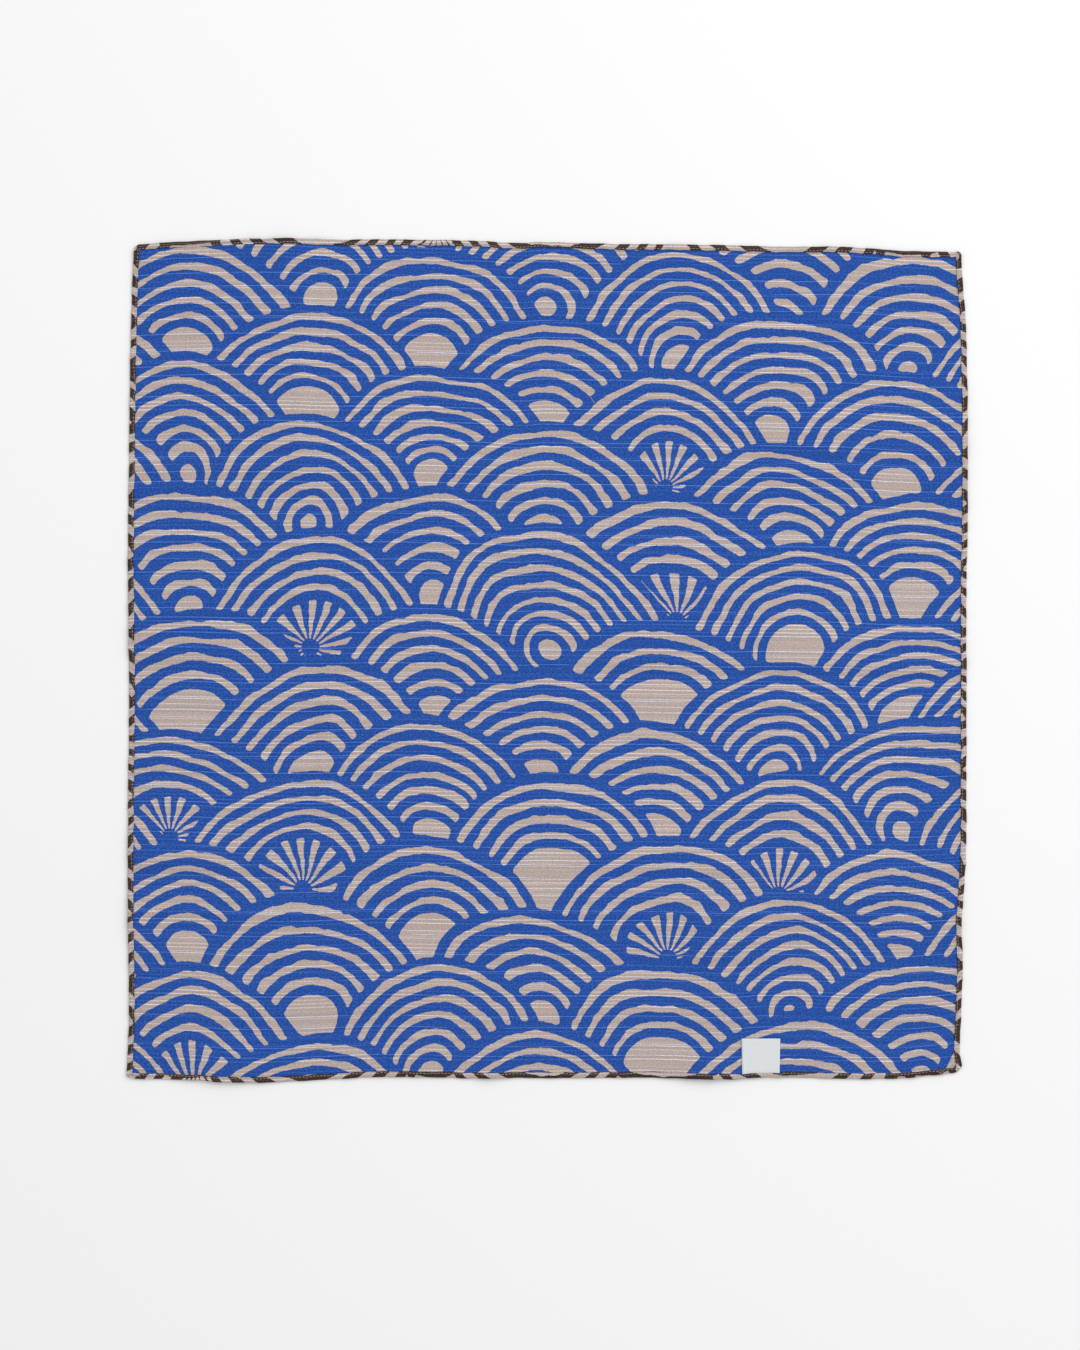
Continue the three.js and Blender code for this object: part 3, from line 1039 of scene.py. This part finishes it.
# %% [markdown]
# ## The slub weave
#
# The plain weave crosses warp over weft and weft over warp like a chessboard, and each yarn is a small
# arch, higher in the middle than at its sides. The yarns never lie quite straight, so noise pushes
# them about, and towards both sides of the cloth the weft slopes by a millimetre or two. An image of
# real cloth could be laid over the sheet instead, but it would blur close by and repeat from afar.

# %% Cross warp and weft
WARP_PITCH = 0.40
WEFT_PITCH = 0.36
YARN_WANDER = 0.12
CROSSING_DIP = 0.35
LEFT_SLOPE_START = 20
LEFT_SLOPE = 0.010
RIGHT_SLOPE_START = 130
RIGHT_SLOPE = 0.009

weave_tree, (x, y), weave_out = new_group("slub_weave", ["x", "y"], ["shade", "slub", "rib", "height"])
left_tilt = (x * -1).soft_step(LEFT_SLOPE_START, HALF) * (x + LEFT_SLOPE_START) * LEFT_SLOPE
right_tilt = x.soft_step(RIGHT_SLOPE_START, HALF) * (x - RIGHT_SLOPE_START) * RIGHT_SLOPE
weft_y = y + (left_tilt + right_tilt) + noise(x / 120, y / 60) * 1.4
warp_x = x + noise(x / 60, y / 90 + 20) * 1.6
warp_count = (warp_x + noise(x / 2, y / 9, 1) * YARN_WANDER) / WARP_PITCH
weft_count = (weft_y + noise(x / 9, y / 2 + 50, 1) * YARN_WANDER) / WEFT_PITCH
warp_arch = (warp_count.fraction() * math.pi).math("SINE")
weft_arch = (weft_count.fraction() * math.pi).math("SINE")
weft_on_top = (warp_count.floor() + weft_count.floor()).wrapped(2)
warp_hill = warp_arch * (weft_arch * CROSSING_DIP + (1 - CROSSING_DIP))
weft_hill = weft_arch * (warp_arch * CROSSING_DIP + (1 - CROSSING_DIP))
weave_height = warp_hill.towards(weft_hill, weft_on_top)
print("warp and weft cross in", len(weave_tree.nodes), "nodes")

# %% [markdown]
# Slub yarn is spun thick and thin on purpose. Here it runs across the cloth as weft, in ribs that are three
# wefts apart. Each rib draws a lot, and it is thick and pale by as much as its lot beats the lot of the rib
# below, with a little more for every second one. Lots alone would also make broad bands, and a difference
# of neighbours keeps those faint. In every block of eight ribs one is a slub, thick and nearly white for a
# long way, and the weave on both sides of it is painted a little darker, as painted shade beside the raised
# slub.

# %% Thicken the ribs and the slubs
RIB_PITCH = 3 * WEFT_PITCH
RIB_CONTRAST = 1.15
SECOND_RIB = 0.3
RIB_LOSS = 0.03
RIBS_PER_SLUB = 8
WEFT_LOTS = 400
WARP_LOTS = 900
GRAIN = 0.9
COARSE_GRAIN = 0.5
# Painted shade darkens the weave where its yarns dip between their crowns, and on both sides of a slub.
WEAVE_SHADE = 0.22
GAP_SHADE = 0.862
SLUB_SIDE_SHADE_DEPTH = -0.08
WEAVE_RISE = 0.8
RIB_RISE = 0.4
SLUB_RISE = 1.3

rib_count = weft_y / RIB_PITCH
rib = rib_count.floor()
from_middle = (rib_count.fraction() - 0.5).math("ABSOLUTE")
beats_neighbour = (lot(rib) - lot(rib - 1)) * RIB_CONTRAST
rib_thickness = (beats_neighbour + rib.wrapped(2) * SECOND_RIB - RIB_LOSS).math("MAXIMUM", 0)
rib_thickness = rib_thickness * (noise(x / 70 + rib * 2.1, rib * 1.9) * 1.8 + 1)
fine = from_middle.soft_step(0.4, 0.06) * rib_thickness
block = (rib_count / RIBS_PER_SLUB).floor()
place_in_block = (lot(block + 0.5) * (RIBS_PER_SLUB / 2)).floor() + RIBS_PER_SLUB / 4
thick_one = place_in_block + block * RIBS_PER_SLUB
thick = (rib - thick_one).math("ABSOLUTE").math("LESS_THAN", 0.5)
present = noise(x / 60 + thick_one * 5.3, thick_one * 3.7, 3).soft_step(-0.15, 0.02)
beside_slub = (rib_count - 0.5 - thick_one).math("ABSOLUTE")
painted_slub_side_shade = present * beside_slub.soft_step(0.35, 0.65) * beside_slub.soft_step(1.7, 0.8)
half_wide = noise(x / 9 + rib * 2.9, rib * 1.3, 3) * 0.3 + 0.26
slub = thick * present * (from_middle / half_wide).soft_step(1.0, 0.5)
streak = (lot(weft_count.floor() + WEFT_LOTS) - 0.5) * 0.03 + noise(x / 22, weft_count * 0.8, 3) * 0.1
warp_streak = (lot(warp_count.floor() + WARP_LOTS) - 0.5) * 0.05
grain = noise(x / 0.6, y / 0.4, 1) * GRAIN + noise(x / 1.3, y / 0.8 + 30, 1) * COARSE_GRAIN
# Painted shade: the weave is darker in the gaps between yarn crowns and on both sides of a slub. Streaks
# and grain add the cloth's own uneven tone.
gap_shade = (weave_height * WEAVE_SHADE + GAP_SHADE) * (painted_slub_side_shade * SLUB_SIDE_SHADE_DEPTH + 1)
join(gap_shade * (streak + warp_streak + grain + 1), weave_out.inputs["shade"])
join(slub, weave_out.inputs["slub"])
join(fine, weave_out.inputs["rib"])
join(weave_height * WEAVE_RISE + fine * RIB_RISE + slub * SLUB_RISE, weave_out.inputs["height"])
print("slub weave in", len(weave_tree.nodes), "nodes")

# %% [markdown]
# ## The two printed sides
#
# Both sides use the same two groups. Only the ink differs, and the bare shapes are half a millimetre
# wider all round on the reverse. The undyed slubs take less ink, so they show as lighter lines in the
# print and nearly white ones on the bare ground.


# %% Choose the colours
def srgb(red, green, blue):
    """A colour given in 0 to 255, as the linear colour that a shader wants."""
    shares = [value / 255 for value in (red, green, blue)]
    linear = [s / 12.92 if s <= 0.04045 else ((s + 0.055) / 1.055) ** 2.4 for s in shares]
    return (*linear, 1.0)


TAUPE = srgb(193, 176, 169)
PALE_RIB = srgb(240, 231, 233)
PALE_SLUB = srgb(232, 233, 246)
BLUE_INK = srgb(14, 73, 161)
BLUE_SLUB = srgb(82, 132, 232)
BROWN_INK = srgb(48, 34, 30)
BROWN_SLUB = srgb(112, 92, 84)
print("the blue ink is", [round(value, 3) for value in BLUE_INK[:3]], "as linear light")

# %% [markdown]
# A finish reads the place on the flat cloth from the UV map and asks the groups what lies there. It
# mixes colours by the answers, and it tells the light how high the yarns stand with a Bump node. That
# costs no faces, and yarns are too fine to be worth any.


# %% Mix colours and raise the surface
def mixed(tree, first, second, share, blend="MIX"):
    """Blends two colours, each a wire or a plain colour, by a share."""
    node = tree.nodes.new("ShaderNodeMix")
    node.data_type = "RGBA"
    node.blend_type = blend
    join(share, node.inputs["Factor"])
    join(first, node.inputs["A"])
    join(second, node.inputs["B"])
    return Wire(tree, node.outputs[2])


def use_group(tree, group, **values):
    """Adds a node group, joins its entries and gives its results by name."""
    node = tree.nodes.new("ShaderNodeGroup")
    node.node_tree = group
    for entry, value in values.items():
        join(value, node.inputs[entry])
    return {result.name: Wire(tree, result) for result in node.outputs}


def in_millimetres(tree, vector):
    """The x and y of a vector in metres, as two wires in millimetres."""
    parts = tree.nodes.new("ShaderNodeSeparateXYZ")
    tree.links.new(vector, parts.inputs["Vector"])
    return Wire(tree, parts.outputs["X"]) / MM, Wire(tree, parts.outputs["Y"]) / MM


def flat_place(tree, map_name):
    """The place on the flat cloth or tape, in millimetres, as two wires."""
    uv = tree.nodes.new("ShaderNodeUVMap")
    uv.uv_map = map_name
    return in_millimetres(tree, uv.outputs["UV"])


def start_material(material, settings):
    """A material's node tree and its shader, with the shader's plain settings made by name."""
    material.use_nodes = True
    shader = material.node_tree.nodes["Principled BSDF"]
    for setting, value in settings.items():
        shader.inputs[setting].default_value = value
    return material.node_tree, shader


def raise_surface(tree, shader, height, distance):
    """Turns a height wire into bump, distance in millimetres for a height of 1."""
    bump = tree.nodes.new("ShaderNodeBump")
    bump.inputs["Strength"].default_value = 1
    bump.inputs["Distance"].default_value = distance * MM
    join(height, bump.inputs["Height"])
    tree.links.new(bump.outputs["Normal"], shader.inputs["Normal"])


print("a finish can be put together from", len(bpy.data.node_groups), "node groups")

# %% [markdown]
# One function prints both sides. Cotton hardly shines, so its finish is rough with a trace of sheen.
# The ink is patchy, in specks of two or three yarns, and a slub or a thick rib takes less of it.

# %% Print both sides of the cotton
WEAVE_RELIEF = 0.09
MATT_COTTON = {"Specular IOR Level": 0.15, "Sheen Weight": 0.04, "Sheen Roughness": 0.5}


def print_cotton(material, ink_colour, slub_colour, widening):
    """The weave and the waves as one finish. Widening, in millimetres, lets the bare shapes grow."""
    tree, shader = start_material(material, MATT_COTTON)
    x, y = flat_place(tree, "flat_cloth")
    weave = use_group(tree, weave_tree, x=x, y=y)
    ink = use_group(tree, waves_tree, x=x, y=y, widening=widening)["ink"]
    ink = ink * (noise(x / 0.7, y / 0.5, 1) * 0.08 + 0.985)
    patchy = noise(x / 1.2, y / 0.8, 1) * 0.9 + 0.1
    ribbed = mixed(tree, TAUPE, PALE_RIB, weave["rib"])
    ground = mixed(tree, ribbed, PALE_SLUB, weave["slub"])
    lightened = weave["slub"] * 0.8 + weave["rib"] * 0.32 + patchy
    printed = mixed(tree, ink_colour, slub_colour, lightened)
    colour = mixed(tree, ground, printed, ink)
    shade = tree.nodes.new("ShaderNodeCombineColor")
    for channel in ("Red", "Green", "Blue"):
        join(weave["shade"], shade.inputs[channel])
    # Multiplying by the weave's shade paints shade into the yarn gaps and beside the slubs, together with
    # the cloth's own uneven tone.
    shaded = mixed(tree, colour, Wire(tree, shade.outputs["Color"]), 1.0, "MULTIPLY")
    join(shaded, shader.inputs["Base Color"])
    join(weave["slub"] * -0.15 + 0.88, shader.inputs["Roughness"])
    raise_surface(tree, shader, weave["height"], WEAVE_RELIEF)
    print(material.name, "has", len(tree.nodes), "nodes of its own")


print_cotton(face_cotton, BLUE_INK, BLUE_SLUB, widening=0.0)
print_cotton(reverse_cotton, BROWN_INK, BROWN_SLUB, widening=0.5)

# %% [markdown]
# ## The label's satin and the thread
#
# The label is woven in satin, with fine ribs across it and a soft shine, and it is painted darker where its
# ribs and floats lie low, as painted shade. It is bare. The thread is two strands twisted together, and
# painted shade darkens the slanting grooves between them.

# %% Finish the label and the thread
LABEL_WHITE = srgb(233, 236, 238)
LABEL_SHADE = srgb(213, 216, 219)
THREAD_PALE = srgb(190, 177, 154)
# The darker thread colour is painted shade for the grooves between the strands.
THREAD_GROOVE_SHADE = srgb(126, 111, 92)
SATIN_RIB_PITCH = 0.34
TWIST_PITCH = 0.32
FINE_RELIEF = 0.05

satin = bpy.data.materials.new("label_satin")
tree, shader = start_material(satin, {"Specular IOR Level": 0.4, "Sheen Weight": 0.2})
x, y = flat_place(tree, "flat_tape")
rib = ((y / SATIN_RIB_PITCH).fraction() * math.pi).math("SINE")
float_thread = noise(x / 0.9, y / 0.17, 2)
body = rib * 0.5 + float_thread * 0.7
# Painted shade: the tape is darker where its ribs and floats lie low, by the same wire that raises them.
join(mixed(tree, LABEL_SHADE, LABEL_WHITE, body.soft_step(-0.1, 0.5)), shader.inputs["Base Color"])
join(float_thread * 0.2 + 0.48, shader.inputs["Roughness"])
raise_surface(tree, shader, body, FINE_RELIEF)
label.data.materials.append(satin)

thread = bpy.data.materials.new("sewing_thread")
tree, shader = start_material(thread, {"Sheen Weight": 0.2})
place = tree.nodes.new("ShaderNodeTexCoord")
x, y = in_millimetres(tree, place.outputs["Object"])
twist = (((x + y) / TWIST_PITCH).fraction() * math.pi).math("SINE")
twist = twist.math("MULTIPLY", ((x - y) / 4.1).math("SINE") * 0.1 + 0.9)
# Painted shade: the thread is darker in the grooves between its strands, by the same twist that raises
# them.
join(mixed(tree, THREAD_GROOVE_SHADE, THREAD_PALE, twist.soft_step(0.0, 0.6)), shader.inputs["Base Color"])
join(twist * 0.15 + 0.55, shader.inputs["Roughness"])
raise_surface(tree, shader, twist, FINE_RELIEF)
stitching.data.materials.append(thread)
print("satin and thread are ready")

# %% [markdown]
# ## The table and the light
#
# The cloth lies on a plain white surface in a bright room. The light is soft all round, with a
# large window of light above and to the right, so the shadow is only a breath of grey along the
# left and bottom edges.

# %% Light the scene
TABLE_WHITE = srgb(254, 254, 254)
TABLE_SIZE = 12
TABLE_DROP = 0.1
ROOM_BRIGHTNESS = 0.662
WINDOW_SIZE = 2.4
WINDOW_ENERGY = 40
WINDOW_PLACE = (1.4, 1.5, 1.9)

deselect_everything()
bpy.ops.mesh.primitive_plane_add(size=TABLE_SIZE, location=(0, 0, -TABLE_DROP * MM))
table = bpy.context.object
table.name = "white_table"
white = bpy.data.materials.new("white_table")
start_material(white, {"Base Color": TABLE_WHITE, "Roughness": 0.9, "Specular IOR Level": 0.1})
table.data.materials.append(white)
table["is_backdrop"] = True

world = bpy.data.worlds.new("bright_room")
world.use_nodes = True
sky = world.node_tree.nodes["Background"]
sky.inputs["Color"].default_value = (1, 1, 1, 1)
sky.inputs["Strength"].default_value = ROOM_BRIGHTNESS
bpy.context.scene.world = world

window_data = bpy.data.lights.new("window", "AREA")
window_data.shape = "RECTANGLE"
window_data.size = WINDOW_SIZE
window_data.size_y = WINDOW_SIZE
window_data.energy = WINDOW_ENERGY
window = bpy.data.objects.new("window", window_data)
bpy.context.collection.objects.link(window)
window.location = WINDOW_PLACE
window.rotation_euler = (-window.location).to_track_quat("-Z", "Y").to_euler()

scene = bpy.context.scene
scene.view_settings.view_transform = "Standard"
scene.view_settings.look = "None"
print("a room of brightness", ROOM_BRIGHTNESS, "and one window of", WINDOW_SIZE, "m")

# %% [markdown]
# ## Attaching the pieces
#
# Each piece is listed with the name of its finish and attached to the root body, and the solids of the
# cloth and the label are hidden.

for piece, finish in (
    (cloth, "printed_cotton"),
    (label, "label_satin"),
    (stitching, "sewing_thread"),
):
    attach(piece, "root")
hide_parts("cloth")
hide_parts("label")
cut_side * MM
cut_side * MM

# %% Print the sizes of the solid and the dressed pieces
dressed_box = [list(corner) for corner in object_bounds()]
for side, (solid, dressed) in zip("XYZ", zip(np.ptp(cad_box, axis=0), np.ptp(dressed_box, axis=0))):
    print(side, "solid", round(solid / MM, 1), "mm, dressed", round(dressed / MM, 1), "mm")
